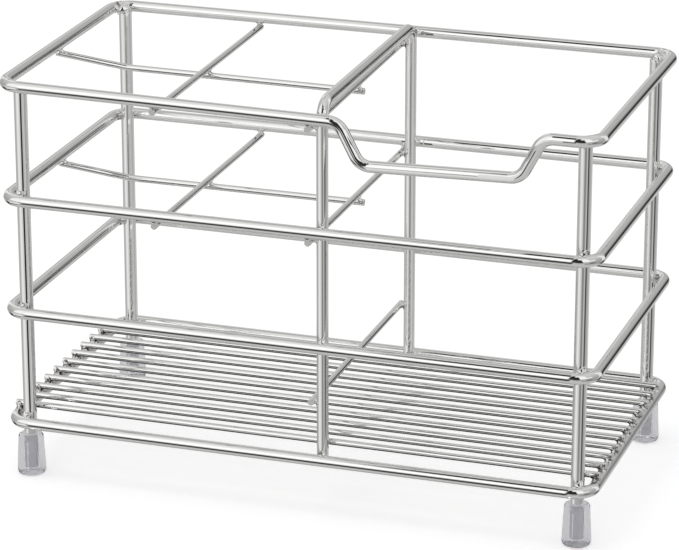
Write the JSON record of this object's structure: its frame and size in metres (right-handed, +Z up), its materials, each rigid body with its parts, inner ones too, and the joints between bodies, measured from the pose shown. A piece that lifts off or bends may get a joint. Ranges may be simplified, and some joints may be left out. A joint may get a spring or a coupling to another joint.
{
  "type": "toothbrush holder",
  "caption": "Open wire toothbrush holder: stacked hoops on corner posts, brush cells beside a wide compartment with a dipped front rim, clear foot caps.",
  "frame": {"origin": "on the ground under the middle of the outline", "axes": "+X along the holder to the right as the picture sees it, +Y to the back, +Z up"},
  "size_m": [0.1834, 0.0965, 0.1277],
  "materials": {
    "thick_wire": "bright drawn stainless wire, satin polish, faint lines along the wire, darker at the welds",
    "thin_wire": "bright drawn stainless wire, satin polish",
    "foot_cap": "clear soft plastic with a faint lavender grey tint, smooth"
  },
  "bodies": {
    "root": {"top_rim": "thick_wire", "upper_hoop": "thick_wire", "lower_hoop": "thick_wire", "base_hoop": "thick_wire", "divider_arch": "thick_wire", "corner_post_front_left": "thick_wire", "corner_post_front_right": "thick_wire", "corner_post_rear_left": "thick_wire", "corner_post_rear_right": "thick_wire", "rim_cross_wire": "thin_wire", "rim_divider_wire": "thin_wire", "rim_long_wire": "thin_wire", "upper_cross_wire": "thin_wire", "upper_divider_wire": "thin_wire", "upper_long_wire": "thin_wire", "low_divider_wire": "thin_wire", "floor_wire_01": "thin_wire", "floor_wire_02": "thin_wire", "floor_wire_03": "thin_wire", "floor_wire_04": "thin_wire", "floor_wire_05": "thin_wire", "floor_wire_06": "thin_wire", "floor_wire_07": "thin_wire", "floor_wire_08": "thin_wire", "floor_wire_09": "thin_wire", "floor_wire_10": "thin_wire", "floor_wire_11": "thin_wire", "foot_cap_front_left": "foot_cap", "foot_cap_front_right": "foot_cap", "foot_cap_rear_left": "foot_cap", "foot_cap_rear_right": "foot_cap"}
  },
  "joints": []
}
